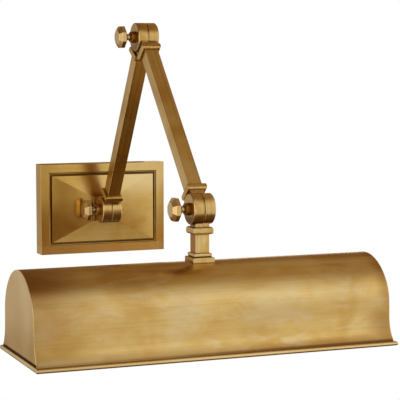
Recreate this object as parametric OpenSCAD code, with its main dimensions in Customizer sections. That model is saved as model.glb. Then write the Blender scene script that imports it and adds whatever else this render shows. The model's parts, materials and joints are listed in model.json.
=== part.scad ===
// Picture light with two folding square-tube arms, for a wall box.
// Frame: +Z up, wall in the plane Y = 0, the light stands out towards -Y.
// Origin: centre of the wall plate's back, on the wall.

/* [Wall plate] */
// Plate width along X
plate_w = 165.1; // [150:0.1:200]
// Plate height along Z
plate_h = 114.3; // [110:0.1:140]
// Plate depth from the wall to the border's front
plate_d = 22; // [18:0.5:30]
// Wall thickness of the plate casting
plate_t = 1.6; // [1.2:0.1:3]
// Depth of the recess inside the border
recess_d = 3.5; // [2:0.1:5]
// Width of the step in the recess
step_w = 1.7; // [1:0.1:3]
// Depth of the step in the recess
step_d = 1.4; // [0.8:0.1:2.5]
// Pyramid panel width
panel_w = 135.6; // [120:0.1:160]
// Pyramid panel height
panel_h = 84.4; // [70:0.1:100]
// Side of the pyramid's flat top
panel_top = 32; // [24:0.5:40]
// How far the pyramid rises above its edge
panel_rise = 3.7; // [2:0.1:6]
// Groove between the panel and the step at the sides
groove_side = 2.05; // [1:0.05:4]
// Groove between the panel and the step above and below
groove_end = 2.25; // [1:0.05:4]
// Panel metal thickness
panel_t = 2.4; // [1.5:0.1:3]
// Distance between the two box screws (3.5 inch box)
box_pitch = 88.9; // [69.85, 88.9]
// Clearance width of the box screw slots
slot_w = 4.8; // [4.4:0.1:5.5]
// End-to-end length of the box screw slots
slot_len = 11; // [8:0.5:14]
// Crossbar width
bar_w = 18; // [14:1:24]
// Crossbar thickness
bar_t = 2; // [1.5:0.1:3]
// Depth of the crossbar's bent ends
bar_tab = 14; // [12:0.5:18]
// Canopy screws' distance from the wall
canopy_y = 8; // [6:0.5:10]
// Canopy screw radius
canopy_r = 1.9; // [1.5:0.1:2.5]
// Canopy screw head radius
canopy_head_r = 3.7; // [3:0.1:5]
// Canopy screw length under its head
canopy_len = 7; // [5:0.5:9]
// Height of the ground screw above the middle
ground_z = 22; // [18:1:28]
// Ground screw radius
ground_r = 2; // [1.5:0.1:2.5]
// Ground screw head radius
ground_head_r = 4; // [3:0.1:5]
// Ground screw head height
ground_head_h = 2.6; // [2:0.1:4]
// Radius of the knuckle's hollow stud
stud_r = 6; // [5:0.1:7]
// Room round the stud in the panel and the plate
stud_gap = 0.3; // [0.1:0.1:1]
// How far the stud's end stays from the wall
stud_back = 7.5; // [5:0.5:12]
// Stud nut across its flats
wall_nut_af = 19; // [16:0.5:22]
// Stud nut height
wall_nut_h = 5; // [4:0.5:8]

/* [Arms] */
// Pivot to pivot length of each arm
arm_len = 254; // [200:1:300]
// Square tube outside width
tube_w = 15.9; // [12:0.1:20]
// Square tube wall
tube_t = 1.2; // [1:0.1:2]
// Lean of arm 1 from the vertical at rest, degrees
lean_1 = 32.5; // [0:0.5:70]
// Lean of arm 2 from the vertical at rest, degrees
lean_2 = 43; // [20:0.5:80]
// Wall to first pivot
pivot_out = 43.5; // [40:0.5:60]

/* [Knuckles] */
// Drum radius
drum_r = 16.6; // [14:0.1:20]
// Drum width over both halves
drum_w = 25; // [20:0.1:30]
// Seam between the two halves
seam = 0.7; // [0.5:0.1:1.5]
// Small bevel on the drum edges
drum_edge = 0.8; // [0.3:0.1:1.5]
// Room between a drum and the other half's neck
saddle_gap = 0.5; // [0.3:0.1:1]
// Pivot to the start of the collar
neck_len = 19; // [18:0.5:26]
// Collar width across the flats
collar_w = 22.8; // [20:0.1:28]
// Collar height
collar_h = 8; // [5:0.5:12]
// Collar edge radius
collar_r = 2.6; // [1:0.1:4]
// Length of the spigot inside the tube
spigot_len = 12; // [8:1:20]
// Pivot sleeve outside radius
sleeve_r = 5; // [4:0.1:6]
// Radial running fit of the pivots
run_fit = 0.05; // [0.02:0.01:0.1]
// Gap kept between parts that turn past each other
turn_gap = 0.3; // [0.3:0.1:0.6]
// Depth of the sleeve in the held half
sleeve_in = 8; // [6:0.5:10]
// Friction washer radius
washer_r = 12.5; // [10:0.5:15]

/* [Thumb knobs] */
// Knob size across the flats
knob_af = 24.9; // [18:0.1:30]
// Knob flat face across the flats
knob_face_af = 15.6; // [10:0.1:22]
// Knob face distance from the drum's middle
knob_face_x = 34.2; // [30:0.1:42]
// Depth of the front chamfer
knob_bevel = 3.6; // [2:0.1:6]
// Width of the octagonal edge
knob_edge = 4.5; // [2:0.1:8]
// Depth of the back chamfer
knob_back = 3.4; // [1:0.1:5]
// Stem radius between knob and boss
stem_r = 3.6; // [3:0.1:5]
// Clamp screw radius
shank_r = 3; // [2.5:0.1:4]
// Depth of the clamp screw in its knob
screw_in = 8; // [5:0.5:12]
// Boss radius
boss_r = 6.7; // [5:0.1:9]
// Boss length
boss_len = 6; // [3:0.5:10]
// Boss end chamfer
boss_edge = 1.6; // [0.5:0.1:2.5]
// Room round the clamp screw in the boss
boss_gap = 0.4; // [0.2:0.1:1]

/* [Post] */
// Pivot to the underside of the post tube
post_len = 47; // [40:1:80]
// Upper step width
step_up_w = 20.4; // [18:0.1:26]
// Upper step height
step_up_h = 4.4; // [3:0.1:8]
// Lower block width
block_w = 25; // [20:0.1:34]
// How far the lower block reaches down past the top of the roof
block_dip = 2.4; // [1.6:0.1:4]

/* [Shade] */
// Length over the end caps
shade_len = 401.6; // [300:0.1:500]
// Height from the rim's underside to the roof
shade_h = 94.5; // [80:0.5:120]
// Pivot to the top of the roof
shade_drop = 56; // [50:0.5:80]
// Roof radius
roof_r = 60; // [50:1:80]
// Roof half angle, degrees
roof_a = 55; // [40:1:70]
// Shoulder radius
shoulder_r = 41.5; // [20:0.5:60]
// Half width where the flare starts
waist = 57.2; // [50:0.1:70]
// Height where the flare starts
flare_z = 31; // [20:0.5:45]
// Flare radius
flare_r = 41; // [30:0.5:60]
// Half width at the top of the rim
skirt = 66.8; // [60:0.1:80]
// Sheet thickness
sheet_t = 1; // [0.6:0.1:1.5]
// Rim height
rim_h = 4.7; // [3:0.1:8]
// Rim projection at the front and back
rim_out = 6.2; // [3:0.1:8]
// Rim projection past the end caps
rim_side = 2.4; // [2.4:0.1:8]

/* [Lamps] */
// Bulb axis below the pivot
lamp_drop = 100; // [90:1:110]
// Bulb tube radius
bulb_r = 15.9; // [12:0.1:16]
// Bulb length with its cap
bulb_len = 143; // [100:1:150]
// Bulb cap radius
cap_r = 13.1; // [12:0.1:14]
// Bulb cap length
cap_len = 25; // [20:1:28]
// Thickness of the bulb's glass and of its cap
glass_t = 0.8; // [0.5:0.1:1.5]
// Lampholder radius
holder_r = 18.5; // [16:0.5:20]
// Lampholder length
holder_len = 34; // [28:1:40]
// Thickness of the lampholder's base
holder_back = 5; // [4:0.5:7]
// Distance between the two screws of a lampholder
holder_pitch = 24; // [20:0.5:28]
// Lampholder screw radius
holder_screw_r = 1.6; // [1.2:0.1:2]
// Lampholder screw head radius
holder_head_r = 2.8; // [2:0.1:4]
// Depth of the lampholder screws in the base
holder_screw_in = 4; // [3:0.5:5]
// Half distance between the lampholder backs
bracket_x = 24; // [20:1:30]
// Bracket strip thickness
strip_t = 1.5; // [1:0.1:2]
// Bracket strip width
strip_w = 22; // [16:1:26]
// Nipple radius
nipple_r = 4.9; // [4:0.1:6]
// How far the nipple passes the lamp nut
nipple_past = 3.5; // [2:0.5:6]
// Saddle washer radius
saddle_r = 11; // [8:0.5:14]
// Saddle washer's flat face below the roof's top
saddle_drop = 7; // [6:0.5:10]
// Lamp nut across its flats
lamp_nut_af = 16; // [14:0.5:18]
// Lamp nut height
lamp_nut_h = 5; // [4:0.5:7]
// Radius of the lead in the arms and the post
lead_r = 2.4; // [1.5:0.1:2.6]
// Radius of the leads to the lampholders
flex_r = 1.1; // [0.8:0.1:1.5]
// Radius of the lead holes in the bracket and lampholders
lead_hole_r = 3.6; // [2.5:0.1:4.5]

/* [Hidden] */
$fn = 96;
brass = [0.70, 0.56, 0.32];
dark_brass = [0.42, 0.28, 0.12];
steel = [0.62, 0.62, 0.60];
white = [0.93, 0.92, 0.88];
recess_y = -plate_d + recess_d;
front_wall_y = recess_y + plate_t;
panel_edge_y = -plate_d + 0.5;
panel_top_y = panel_edge_y - panel_rise;
flange_t = 1;
opening_w = panel_w + 2 * (groove_side + step_w);
opening_h = panel_h + 2 * (groove_end + step_w);
tab_z = plate_h / 2 - plate_t;
elbow = [0, -pivot_out - arm_len * sin(lean_1), arm_len * cos(lean_1)];
tilt_pivot = elbow + [0, -arm_len * sin(lean_2), -arm_len * cos(lean_2)];
collar_end = neck_len + collar_h;
tube_in = tube_w - 2 * tube_t;
half_in = seam / 2;
half_out = drum_w / 2;
lead_stop = neck_len + 2;
boss_end = half_out + boss_len;
base_top = post_len;
block_top = post_len + step_up_h;
roof_c = -shade_drop - roof_r;
rim_z = -shade_drop - shade_h;
shoulder_y = (roof_r - shoulder_r) * sin(roof_a);
shoulder_z = roof_c + (roof_r - shoulder_r) * cos(roof_a);
rim_x = shade_len / 2 + rim_side;
rim_y = skirt + rim_out;
block_low = shade_drop + block_dip;
washer_z = -shade_drop - saddle_drop;
lamp_nut_z = washer_z - strip_t - lamp_nut_h;
nipple_end = lamp_nut_z - nipple_past;
lead_end = nipple_end + 12;
bracket_low = lamp_drop + 16;
cap_x = bracket_x + holder_back;

// Which sub-part to draw

// ---------- where things sit ----------
module at_wall_pivot() { translate([0, -pivot_out, 0]) children(); }
module at_elbow() { translate(elbow) children(); }
module at_tilt() { translate(tilt_pivot) children(); }
module along_arm_1() { at_wall_pivot() rotate([lean_1, 0, 0]) children(); }
module along_arm_2() { at_elbow() rotate([180 - lean_2, 0, 0]) children(); }

// ---------- shared shapes ----------
// cylinder along X from x0 to x1
module x_rod(r, x0, x1) {
  translate([min(x0, x1), 0, 0]) rotate([0, 90, 0]) cylinder(r = r, h = abs(x1 - x0));
}

// cone along X, radius ra at x0 and rb at x1, with x0 < x1
module x_cone(ra, rb, x0, x1) {
  translate([x0, 0, 0]) rotate([0, 90, 0]) cylinder(r1 = ra, r2 = rb, h = x1 - x0);
}

// box centred in X and Y that stands on z0
module post_box(w, d, z0, z1) {
  translate([-w / 2, -d / 2, z0]) cube([w, d, z1 - z0]);
}

// side view of a slab with rounded edges, centred on X, standing on Y = 0
module round_edged(w, h, r) {
  translate([-w / 2, r]) square([w, h - 2 * r]);
  translate([-w / 2 + r, 0]) square([w - 2 * r, h]);
  for (s = [-1, 1], y = [r, h - r]) translate([s * (w / 2 - r), y]) circle(r = r);
}

// square slab with mitred round edges, standing on Z = 0
module soft_slab(w, d, h, r) {
  intersection() {
    translate([0, d / 2, 0]) rotate([90, 0, 0]) linear_extrude(d) round_edged(w, h, r);
    translate([-w / 2, 0, 0]) rotate([90, 0, 90]) linear_extrude(w) round_edged(d, h, r);
  }
}

// one half of a drum: side -1 is the knob's half, +1 is the held half
module half_drum(side) {
  mirror([side < 0 ? 1 : 0, 0, 0]) {
    x_cone(drum_r - 0.4, drum_r, half_in, half_in + 0.4);
    x_rod(drum_r, half_in + 0.4, half_out - drum_edge);
    x_cone(drum_r, drum_r - drum_edge, half_out - drum_edge, half_out);
  }
}

// the bores of a half drum
module drum_bores(side) {
  if (side < 0) {
    x_rod(sleeve_r + run_fit, -half_out - 1, -half_in + 1);
  } else {
    x_rod(sleeve_r, half_in - 1, sleeve_in);
    x_rod(shank_r + run_fit, sleeve_in - 1, half_out - 1.2);
  }
}

// room for the other half drum
module other_half(side) {
  mirror([side < 0 ? 1 : 0, 0, 0]) x_rod(drum_r + saddle_gap, -half_out - 4, half_in);
}

// half drum, neck, collar and spigot: the end of an arm or of the post
module end_knuckle(side) {
  difference() {
    union() {
      half_drum(side);
      post_box(tube_w, tube_w, 0, neck_len + 1);
      translate([0, 0, neck_len]) soft_slab(collar_w, collar_w, collar_h, collar_r);
      post_box(tube_in, tube_in, collar_end - 1, collar_end + spigot_len);
    }
    other_half(side);
    drum_bores(side);
    translate([0, 0, lead_stop]) cylinder(r = lead_r, h = 40);
  }
}

module square_tube(z0, z1) {
  difference() {
    post_box(tube_w, tube_w, z0, z1);
    post_box(tube_in, tube_in, z0 - 1, z1 + 1);
  }
}

module pivot_sleeve() {
  difference() {
    x_rod(sleeve_r, -half_out + turn_gap, sleeve_in);
    x_rod(shank_r + run_fit, -half_out - 1, sleeve_in + 1);
  }
}

module friction_washer() {
  difference() {
    x_rod(washer_r, -half_in + turn_gap, half_in);
    x_rod(sleeve_r + turn_gap, -half_in, half_in + 1);
  }
}

module boss() {
  difference() {
    union() {
      x_rod(boss_r, -boss_end + boss_edge, -half_out);
      x_cone(boss_r - boss_edge, boss_r, -boss_end, -boss_end + boss_edge);
    }
    x_rod(shank_r + boss_gap, -boss_end - 1, -half_out + 1);
  }
}

// side view of the octagonal head along X
module knob_outline() {
  x0 = -knob_face_x;
  x1 = x0 + knob_bevel;
  x2 = x1 + knob_edge;
  x3 = x2 + knob_back;
  polygon([
    [x0, knob_face_af / 2], [x1, knob_af / 2], [x2, knob_af / 2], [x3, stem_r + 2.4],
    [x3, -stem_r - 2.4], [x2, -knob_af / 2], [x1, -knob_af / 2], [x0, -knob_face_af / 2]
  ]);
}

module thumb_knob() {
  head_end = -knob_face_x + knob_bevel + knob_edge + knob_back;
  difference() {
    union() {
      intersection_for(k = [0 : 3]) rotate([45 * k, 0, 0])
        translate([0, 0, -knob_af]) linear_extrude(2 * knob_af) knob_outline();
      x_rod(stem_r, head_end - 1, -boss_end - turn_gap);
    }
    x_rod(shank_r, -boss_end - turn_gap - screw_in, -boss_end);
  }
}

module clamp_screw() {
  x_rod(shank_r, -boss_end - turn_gap - screw_in, half_out - 2);
}

// side view of a frustum along -Y: width w0 at y0 and w1 at y1
module slope_outline(w0, y0, w1, y1) {
  polygon([[-w0 / 2, y0], [-w1 / 2, y1], [w1 / 2, y1], [w0 / 2, y0]]);
}

// four-sided frustum between two levels along -Y
module frustum(w0, h0, y0, w1, h1, y1) {
  intersection() {
    translate([0, 0, -h0 / 2]) linear_extrude(h0) slope_outline(w0, y0, w1, y1);
    translate([-w0 / 2, 0, 0]) rotate([0, 90, 0]) linear_extrude(w0) slope_outline(h0, y0, h1, y1);
  }
}

// ---------- wall plate ----------
module y_box(w, h, y0, y1) {
  translate([-w / 2, min(y0, y1), -h / 2]) cube([w, abs(y1 - y0), h]);
}

module wall_plate() color(brass) difference() {
  y_box(plate_w, plate_h, 0, -plate_d);
  y_box(plate_w - 2 * plate_t, plate_h - 2 * plate_t, 1, front_wall_y);
  y_box(opening_w, opening_h, -plate_d - 1, -plate_d + step_d);
  y_box(opening_w - 2 * step_w, opening_h - 2 * step_w, -plate_d - 1, recess_y);
  rotate([90, 0, 0]) cylinder(r = stud_r + stud_gap, h = plate_d + 2);
  for (s = [0, 1]) mirror([0, 0, s]) translate([0, -canopy_y, tab_z]) {
    cylinder(r1 = canopy_r + 0.2, r2 = canopy_head_r, h = plate_t);
    translate([0, 0, -1]) cylinder(r = canopy_r + 0.2, h = 1);
  }
}

module pyramid_panel() color(brass) difference() {
  union() {
    y_box(panel_w, panel_h, recess_y, panel_edge_y);
    frustum(panel_w, panel_h, panel_edge_y, panel_top, panel_top, panel_top_y);
  }
  y_box(panel_w - 2 * panel_t, panel_h - 2 * panel_t, recess_y + 1, panel_edge_y + panel_t);
  frustum(panel_w - 2 * panel_t, panel_h - 2 * panel_t, panel_edge_y + panel_t,
          panel_top, panel_top, panel_top_y + panel_t);
  rotate([90, 0, 0]) cylinder(r = stud_r + stud_gap, h = -panel_top_y + 1);
}

// round-ended slot along Y, cut upwards from Z = 0
module box_slot(w, len, h) {
  translate([-w / 2, -(len - w) / 2, 0]) cube([w, len - w, h]);
  for (e = [-1, 1]) translate([0, e * (len - w) / 2, 0]) cylinder(r = w / 2, h = h);
}

module crossbar() color(steel) difference() {
  union() {
    y_box(bar_w, 2 * tab_z, 0, -bar_t);
    for (s = [-1, 1]) translate([0, 0, s * (tab_z - bar_t / 2)]) y_box(bar_w, bar_t, 0, -bar_tab);
  }
  for (s = [-1, 1]) translate([0, 1, s * box_pitch / 2]) rotate([90, 0, 0])
    box_slot(slot_w, slot_len, bar_t + 2);
  for (s = [0, 1]) mirror([0, 0, s]) translate([0, -canopy_y, tab_z - bar_t - 1])
    cylinder(r = canopy_r, h = bar_t + 2);
  translate([0, 1, ground_z]) rotate([90, 0, 0]) cylinder(r = ground_r, h = bar_t + 2);
}

module canopy_screws() color(steel) difference() {
  for (s = [0, 1]) mirror([0, 0, s]) translate([0, -canopy_y, tab_z]) {
    cylinder(r1 = canopy_r + 0.2, r2 = canopy_head_r, h = plate_t);
    translate([0, 0, -canopy_len]) cylinder(r = canopy_r, h = canopy_len);
  }
  for (s = [-1, 1]) translate([0, -canopy_y, s * plate_h / 2])
    cube([1.4 * canopy_head_r, 0.8, 1.4], center = true);
}

module ground_screw() color([0.16, 0.42, 0.22])
  translate([0, 0, ground_z]) rotate([90, 0, 0]) {
    difference() {
      translate([0, 0, bar_t]) cylinder(r = ground_head_r, h = ground_head_h);
      translate([-ground_head_r - 1, -0.5, bar_t + ground_head_h - 1])
        cube([2 * ground_head_r + 2, 1, 2]);
    }
    translate([0, 0, 0.2]) cylinder(r = ground_r, h = bar_t);
  }

module wall_knuckle() color(brass) difference() {
  union() {
    at_wall_pivot() half_drum(1);
    translate([half_in, -pivot_out, -tube_w / 2])
      cube([half_out - half_in - 1.6, pivot_out + panel_top_y, tube_w]);
    y_box(panel_top - 3, panel_top - 3, panel_top_y, panel_top_y - flange_t);
    translate([0, panel_top_y - 0.5, 0]) rotate([-90, 0, 0])
      cylinder(r = stud_r, h = -panel_top_y + 0.5 - stud_back);
  }
  at_wall_pivot() drum_bores(1);
  translate([0, panel_top_y + 1.2, 0]) rotate([-90, 0, 0]) cylinder(r = lead_r, h = plate_d + 8);
}

module wall_nut() color(steel) translate([0, front_wall_y, 0]) rotate([-90, 0, 0]) difference() {
  cylinder(r = wall_nut_af / sqrt(3), h = wall_nut_h, $fn = 6);
  translate([0, 0, -1]) cylinder(r = stud_r, h = wall_nut_h + 2);
}

module wall_pivot_sleeve() color(steel) at_wall_pivot() pivot_sleeve();
module wall_friction_washer() color([0.12, 0.11, 0.1]) at_wall_pivot() friction_washer();
module wall_knob() color(brass) at_wall_pivot() thumb_knob();
module wall_clamp_screw() color(steel) at_wall_pivot() clamp_screw();

// ---------- arm 1 ----------
module arm_1_lower_knuckle() color(brass) along_arm_1() end_knuckle(-1);
module wall_boss() color(dark_brass) at_wall_pivot() boss();
module arm_1_tube() color(brass) along_arm_1() square_tube(collar_end, arm_len - collar_end);
module arm_1_upper_knuckle() color(brass) at_elbow() rotate([lean_1 + 180, 0, 0]) end_knuckle(1);
module arm_1_lead() color([0.1, 0.1, 0.1]) along_arm_1()
  translate([0, 0, lead_stop]) cylinder(r = lead_r, h = arm_len - 2 * lead_stop);
module elbow_pivot_sleeve() color(steel) at_elbow() pivot_sleeve();
module elbow_friction_washer() color([0.12, 0.11, 0.1]) at_elbow() friction_washer();
module elbow_knob() color(brass) at_elbow() thumb_knob();
module elbow_clamp_screw() color(steel) at_elbow() clamp_screw();

// ---------- arm 2 ----------
module arm_2_upper_knuckle() color(brass) along_arm_2() end_knuckle(-1);
module elbow_boss() color(dark_brass) at_elbow() boss();
module arm_2_tube() color(brass) along_arm_2() square_tube(collar_end, arm_len - collar_end);
module arm_2_lower_knuckle() color(brass) at_tilt() rotate([-lean_2, 0, 0]) end_knuckle(-1);
module tilt_boss() color(dark_brass) at_tilt() boss();
module arm_2_lead() color([0.1, 0.1, 0.1]) along_arm_2()
  translate([0, 0, lead_stop]) cylinder(r = lead_r, h = arm_len - 2 * lead_stop);
module tilt_knob() color(brass) at_tilt() thumb_knob();
module tilt_clamp_screw() color(steel) at_tilt() clamp_screw();

// ---------- post ----------
module post_knuckle() color(brass) at_tilt() rotate([180, 0, 0]) end_knuckle(1);
module tilt_pivot_sleeve() color(steel) at_tilt() pivot_sleeve();
module tilt_friction_washer() color([0.12, 0.11, 0.1]) at_tilt() friction_washer();
module post_tube() color(brass) at_tilt() rotate([180, 0, 0]) square_tube(collar_end, base_top);
module post_base() color(brass) at_tilt() difference() {
  union() {
    translate([0, 0, -block_top]) soft_slab(step_up_w, step_up_w, step_up_h, 1.6);
    translate([0, 0, -block_low]) soft_slab(block_w, block_w, block_low - block_top, 1.4);
    post_box(tube_in, tube_in, -base_top - 1, -base_top + 6);
  }
  along_shade(-block_w, block_w) trough_fill(0, rim_z);
  translate([0, 0, -block_low - 1]) cylinder(r = nipple_r, h = block_low - base_top + 8);
}

module post_lead() color([0.1, 0.1, 0.1]) at_tilt()
  translate([0, 0, lead_end]) cylinder(r = lead_r, h = -lead_end - lead_stop);

// ---------- lamps ----------
module nipple() color(steel) at_tilt() difference() {
  translate([0, 0, nipple_end]) cylinder(r = nipple_r, h = -nipple_end - base_top + 6);
  translate([0, 0, nipple_end - 1]) cylinder(r = lead_r, h = -nipple_end + 2);
}

module saddle_washer() color(steel) at_tilt() difference() {
  intersection() {
    translate([0, 0, washer_z]) cylinder(r = saddle_r, h = saddle_drop + 1);
    along_shade(-saddle_r - 1, saddle_r + 1) trough_fill(sheet_t, rim_z);
  }
  translate([0, 0, washer_z - 1]) cylinder(r = nipple_r, h = saddle_drop + 3);
}

module lamp_nut() color(steel) at_tilt() translate([0, 0, lamp_nut_z]) difference() {
  cylinder(r = lamp_nut_af / sqrt(3), h = lamp_nut_h, $fn = 6);
  translate([0, 0, -1]) cylinder(r = nipple_r, h = lamp_nut_h + 2);
}

// the two screw lines of a lampholder
module at_holder_screws() {
  for (s = [-1, 1]) translate([0, 0, -lamp_drop + s * holder_pitch / 2]) children();
}

module lamp_bracket() color(steel) at_tilt() difference() {
  union() {
    post_box(2 * bracket_x, strip_w, washer_z - strip_t, washer_z);
    for (s = [0, 1]) mirror([s, 0, 0])
      translate([bracket_x - strip_t, -strip_w / 2, -bracket_low])
        cube([strip_t, strip_w, bracket_low + washer_z]);
  }
  translate([0, 0, washer_z - strip_t - 1]) cylinder(r = nipple_r, h = strip_t + 2);
  translate([0, 0, -lamp_drop]) x_rod(lead_hole_r, -bracket_x - 1, bracket_x + 1);
  at_holder_screws() x_rod(holder_screw_r, -bracket_x - 1, bracket_x + 1);
}

module holder_screws() color(steel) at_tilt() for (s = [0, 1])
  mirror([s, 0, 0]) at_holder_screws() {
    x_rod(holder_head_r, bracket_x - strip_t - 1.8, bracket_x - strip_t);
    x_rod(holder_screw_r, bracket_x - strip_t - 0.5, bracket_x + holder_screw_in);
  }

module lampholder() difference() {
  translate([0, 0, -lamp_drop]) {
    x_rod(holder_r, bracket_x, bracket_x + holder_len - 2);
    x_cone(holder_r, holder_r - 1.5, bracket_x + holder_len - 2, bracket_x + holder_len);
  }
  translate([0, 0, -lamp_drop]) {
    x_rod(cap_r, cap_x, bracket_x + holder_len + 1);
    x_rod(lead_hole_r, bracket_x - 1, cap_x + 1);
  }
  at_holder_screws() x_rod(holder_screw_r, bracket_x - 1, bracket_x + holder_screw_in);
}

module left_lampholder() color(white) at_tilt() mirror([1, 0, 0]) lampholder();
module right_lampholder() color(white) at_tilt() lampholder();

module bulb_cap() {
  translate([0, 0, -lamp_drop]) difference() {
    union() {
      x_rod(cap_r, cap_x + 2, cap_x + cap_len);
      x_cone(5, cap_r, cap_x, cap_x + 2);
    }
    x_rod(cap_r - glass_t, cap_x + 2.6, cap_x + cap_len + 1);
  }
}

module left_bulb_cap() color(steel) at_tilt() mirror([1, 0, 0]) bulb_cap();
module right_bulb_cap() color(steel) at_tilt() bulb_cap();

// solid of revolution of the glass, t inside its outer face
module bulb_body(t, x_start) {
  x0 = cap_x + cap_len;
  x1 = cap_x + bulb_len;
  x_rod(cap_r - glass_t - t, x_start, x0 + 8);
  x_cone(cap_r - glass_t - t, bulb_r - t, x0 + 7.9, x0 + 17);
  x_rod(bulb_r - t, x0 + 16.9, x1 - bulb_r);
  translate([x1 - bulb_r, 0, 0]) sphere(r = bulb_r - t);
}

module bulb() {
  translate([0, 0, -lamp_drop]) difference() {
    bulb_body(0, cap_x + cap_len - 8);
    bulb_body(glass_t, cap_x + cap_len - 9);
  }
}

module left_bulb() color([0.96, 0.95, 0.9, 0.6]) at_tilt() mirror([1, 0, 0]) bulb();
module right_bulb() color([0.96, 0.95, 0.9, 0.6]) at_tilt() bulb();

// two leads from the nipple to the backs of the lampholders
module lamp_leads() color([0.1, 0.1, 0.1]) at_tilt() for (s = [-1, 1]) {
  top = [s * (flex_r + 0.1), 0, lead_end];
  bend = [s * (flex_r + 0.1), 0, nipple_end - 6];
  side = [s * (bracket_x - 10), 0, -lamp_drop];
  back = [s * (cap_x - 0.5), 0, -lamp_drop];
  for (ends = [[top, bend], [bend, side], [side, back]]) lead_run(ends[0], ends[1]);
  for (p = [bend, side]) translate(p) sphere(r = flex_r + 0.2);
}

module lead_run(a, b) {
  d = b - a;
  translate(a) rotate([0, acos(d[2] / norm(d)), atan2(d[1], d[0])])
    cylinder(r = flex_r, h = norm(d));
}

// ---------- shade ----------
// points of an arc round c, from angle a0 to a1 measured from straight up
function arc(c, r, a0, a1, n) = [for (i = [0 : n]) let (a = a0 + (a1 - a0) * i / n)
  [c[0] + r * sin(a), c[1] + r * cos(a)]];

// angle at which the flare reaches the skirt
function flare_end(t) = acos((waist + flare_r - skirt + t) / (flare_r + t));

// right half of the section, t inside the outer face, from the roof down to the rim
function half_section(t) = concat(
  arc([0, roof_c], roof_r - t, roof_a / 22, roof_a, 10),
  arc([shoulder_y, shoulder_z], shoulder_r - t, roof_a + 5, 90, 6),
  arc([waist + flare_r, rim_z + flare_z], flare_r + t, 270, 270 - flare_end(t), 8)
);
function mirrored(p) = [for (i = [len(p) - 1 : -1 : 0]) [-p[i][0], p[i][1]]];

// the filled cross section in Y and Z, t inside the outer face, down to z0
module trough_fill(t, z0) {
  p = concat(half_section(t), [[skirt - t, z0]]);
  polygon(concat(p, mirrored(p)));
}

module along_shade(x0, x1) {
  translate([x0, 0, 0]) rotate([90, 0, 90]) linear_extrude(x1 - x0) children();
}

module shade_trough() color(brass) at_tilt() difference() {
  along_shade(-shade_len / 2 + sheet_t, shade_len / 2 - sheet_t) difference() {
    trough_fill(0, rim_z);
    trough_fill(sheet_t, rim_z - 1);
  }
  translate([0, 0, -block_low]) cylinder(r = nipple_r + 0.3, h = block_low - block_top);
}

module left_end_cap() color(brass) at_tilt()
  along_shade(-shade_len / 2, -shade_len / 2 + sheet_t) trough_fill(0, rim_z);
module right_end_cap() color(brass) at_tilt()
  along_shade(shade_len / 2 - sheet_t, shade_len / 2) trough_fill(0, rim_z);

module rim_bead() color(brass) at_tilt() translate([0, 0, rim_z]) difference() {
  soft_slab(2 * rim_x, 2 * rim_y, rim_h, rim_h / 2 - 0.05);
  post_box(shade_len, 2 * skirt, -1, rim_h + 1);
}

wall_plate();
pyramid_panel();
crossbar();
canopy_screws();
ground_screw();
wall_knuckle();
wall_nut();
wall_pivot_sleeve();
wall_friction_washer();
wall_knob();
wall_clamp_screw();
arm_1_lower_knuckle();
wall_boss();
arm_1_tube();
arm_1_upper_knuckle();
arm_1_lead();
elbow_pivot_sleeve();
elbow_friction_washer();
elbow_knob();
elbow_clamp_screw();
arm_2_upper_knuckle();
elbow_boss();
arm_2_tube();
arm_2_lower_knuckle();
tilt_boss();
arm_2_lead();
tilt_knob();
tilt_clamp_screw();
post_knuckle();
tilt_pivot_sleeve();
tilt_friction_washer();
post_tube();
post_base();
post_lead();
nipple();
saddle_washer();
lamp_nut();
lamp_bracket();
holder_screws();
left_lampholder();
right_lampholder();
left_bulb_cap();
right_bulb_cap();
left_bulb();
right_bulb();
lamp_leads();
shade_trough();
left_end_cap();
right_end_cap();
rim_bead();
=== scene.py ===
# %% [markdown]
# # A brass picture light, dressed for its portrait
# This light hangs on a wall over a picture. It has a brass plate, two folding square arms joined
# by round knuckles, a thumb knob on each knuckle and a long trough that hides two bulbs. The exact
# solids come from the frame. Here they get soft edges, smooth metal skin and aged finishes, and
# nothing is moved: a piece goes exactly where its solid is.

# %% Load the frame
import json
import math

import bmesh
import bpy
from mathutils import Matrix, Vector
from mathutils.bvhtree import BVHTree


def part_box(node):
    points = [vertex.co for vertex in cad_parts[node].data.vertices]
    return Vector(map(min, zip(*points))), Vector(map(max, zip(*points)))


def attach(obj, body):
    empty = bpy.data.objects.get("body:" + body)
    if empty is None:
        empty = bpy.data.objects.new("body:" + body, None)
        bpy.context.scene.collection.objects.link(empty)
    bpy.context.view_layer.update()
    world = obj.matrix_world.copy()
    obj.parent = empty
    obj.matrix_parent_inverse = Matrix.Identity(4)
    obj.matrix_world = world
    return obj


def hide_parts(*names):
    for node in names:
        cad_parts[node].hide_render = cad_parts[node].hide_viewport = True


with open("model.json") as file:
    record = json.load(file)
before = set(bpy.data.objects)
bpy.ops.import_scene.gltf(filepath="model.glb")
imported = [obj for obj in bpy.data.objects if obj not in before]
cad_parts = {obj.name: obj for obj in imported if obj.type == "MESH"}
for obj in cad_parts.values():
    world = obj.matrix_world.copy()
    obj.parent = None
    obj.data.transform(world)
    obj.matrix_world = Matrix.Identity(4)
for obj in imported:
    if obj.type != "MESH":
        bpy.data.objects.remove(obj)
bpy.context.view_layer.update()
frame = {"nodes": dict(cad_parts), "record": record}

record = frame["record"]
slot_of = {part["node"]: part["material_slot"] for part in record["subparts"]}
body_of = {node: body for body, nodes in record["behaviour"]["bodies"].items() for node in nodes}
pivot_of = {joint["name"]: Vector(joint["pos_m"]) for joint in record["behaviour"]["joints"]}
MM = 0.001
print("nodes in the frame:", len(slot_of), "bodies:", len(set(body_of.values())))

# %% [markdown]
# ## Where the camera stands
# A photograph fixes its camera: the places of a few corners and knuckles in the picture allow only
# one spot, one aim and one lens. The points below are those places, in pixels from the top left
# corner of the picture. The camera's values were settled from them, by its aim, with no shift.

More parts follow.
